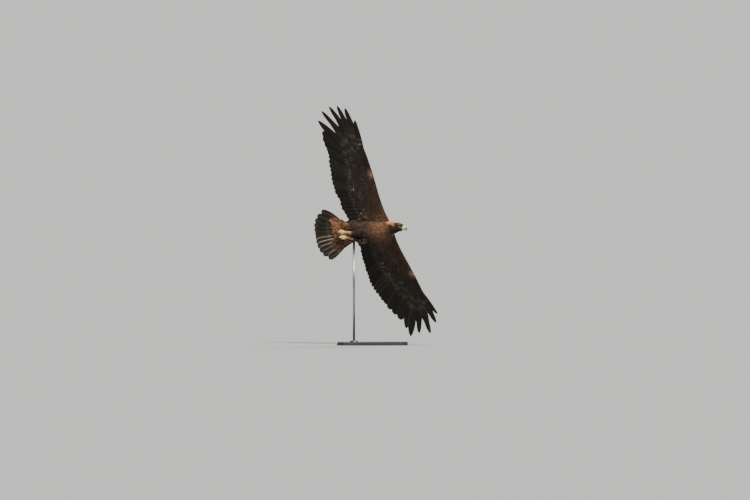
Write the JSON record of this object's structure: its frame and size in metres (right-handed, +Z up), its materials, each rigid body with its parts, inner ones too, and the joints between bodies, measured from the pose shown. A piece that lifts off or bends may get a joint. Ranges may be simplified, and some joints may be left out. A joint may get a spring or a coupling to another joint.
{
  "type": "golden eagle",
  "caption": "Life-size golden eagle soaring in a steep bank with wings and tail spread, held by a rod on a flat display base.",
  "frame": {"origin": "middle of the underside of the display base, which stands on the floor", "axes": "+Z up; +Y away from the camera that took the picture, so that +X is its right and the bird heads toward +X and a little toward -Y, banked with its left wing down"},
  "size_m": [0.9857, 1.1081, 1.8912],
  "materials": {
    "bill": "glossy horn, blue-grey at the base and black at the tip",
    "cere": "waxy yellow skin",
    "claw": "glossy black horn",
    "eye": "polished, amber brown with a black pupil",
    "flight": "matt blackish-brown flight and tail feathers, greyer at their bases",
    "foot": "scaly pale yellow skin",
    "nape": "matt golden-tawny pointed feathers on neck and crown",
    "plumage": "matt dark brown body feathers with paler edges",
    "shank": "pale buff feathers down to the toes",
    "stand_base": "satin black paint over a wooden board",
    "stand_metal": "satin metal"
  },
  "bodies": {
    "root": {"bill_lower": "bill", "bill_upper": "bill", "cere": "cere", "claw_hind_left": "claw", "claw_hind_right": "claw", "claw_inner_left": "claw", "claw_inner_right": "claw", "claw_middle_left": "claw", "claw_middle_right": "claw", "claw_outer_left": "claw", "claw_outer_right": "claw", "eye_left": "eye", "eye_right": "eye", "foot_left": "foot", "foot_right": "foot", "head": "nape", "neck": "nape", "shank_left": "shank", "shank_right": "shank", "stand_base": "stand_base", "stand_collar": "stand_metal", "stand_rod": "stand_metal", "tail": "flight", "thigh_left": "plumage", "thigh_right": "plumage", "torso": "plumage", "wing_left": "flight", "wing_right": "flight"}
  },
  "joints": []
}
